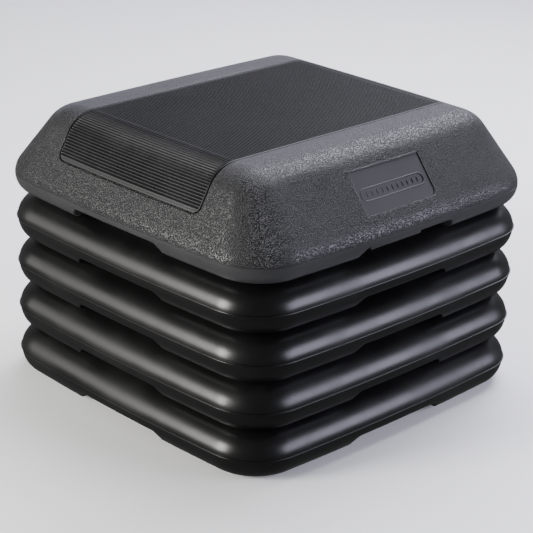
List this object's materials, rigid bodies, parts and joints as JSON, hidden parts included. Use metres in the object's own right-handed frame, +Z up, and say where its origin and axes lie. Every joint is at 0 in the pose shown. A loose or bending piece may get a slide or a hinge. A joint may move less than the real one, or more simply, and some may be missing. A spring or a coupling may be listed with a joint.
{
  "type": "aerobic step with stacking risers",
  "caption": "Square exercise step: a hollow grey platform with a ribbed rubber mat, stacked on matching hollow black risers that lift apart.",
  "frame": {"origin": "on the floor under the middle of the stack", "axes": "+X to the right and +Y to the back of the stack as seen from the side with the smooth label panel; +Z up; the rubber mat runs across from -X to +X"},
  "size_m": [0.42, 0.4128, 0.3018],
  "materials": {
    "platform_plastic": "pebble texture, satin",
    "riser_plastic": "fine texture, semi-gloss",
    "mat_rubber": "ribbed, matt",
    "foot_rubber": "matt"
  },
  "bodies": {
    "riser_1": {"riser_1_shell": "riser_plastic", "riser_1_foot_front_left": "foot_rubber", "riser_1_foot_front_right": "foot_rubber", "riser_1_foot_back_right": "foot_rubber", "riser_1_foot_back_left": "foot_rubber"},
    "riser_2": {"riser_2_shell": "riser_plastic", "riser_2_foot_front_left": "foot_rubber", "riser_2_foot_front_right": "foot_rubber", "riser_2_foot_back_right": "foot_rubber", "riser_2_foot_back_left": "foot_rubber"},
    "riser_3": {"riser_3_shell": "riser_plastic", "riser_3_foot_front_left": "foot_rubber", "riser_3_foot_front_right": "foot_rubber", "riser_3_foot_back_right": "foot_rubber", "riser_3_foot_back_left": "foot_rubber"},
    "riser_4": {"riser_4_shell": "riser_plastic", "riser_4_foot_front_left": "foot_rubber", "riser_4_foot_front_right": "foot_rubber", "riser_4_foot_back_right": "foot_rubber", "riser_4_foot_back_left": "foot_rubber"},
    "platform": {"platform_shell": "platform_plastic", "grip_mat": "mat_rubber", "platform_foot_front_left": "foot_rubber", "platform_foot_front_right": "foot_rubber", "platform_foot_back_right": "foot_rubber", "platform_foot_back_left": "foot_rubber"}
  },
  "joints": [
    {"name": "riser_2_lift", "type": "slide", "parent": "riser_1", "child": "riser_2", "axis": [0, 0, 1], "range_m": [0, 0.1]},
    {"name": "riser_3_lift", "type": "slide", "parent": "riser_2", "child": "riser_3", "axis": [0, 0, 1], "range_m": [0, 0.1]},
    {"name": "riser_4_lift", "type": "slide", "parent": "riser_3", "child": "riser_4", "axis": [0, 0, 1], "range_m": [0, 0.1]},
    {"name": "platform_lift", "type": "slide", "parent": "riser_4", "child": "platform", "axis": [0, 0, 1], "range_m": [0, 0.1]}
  ]
}
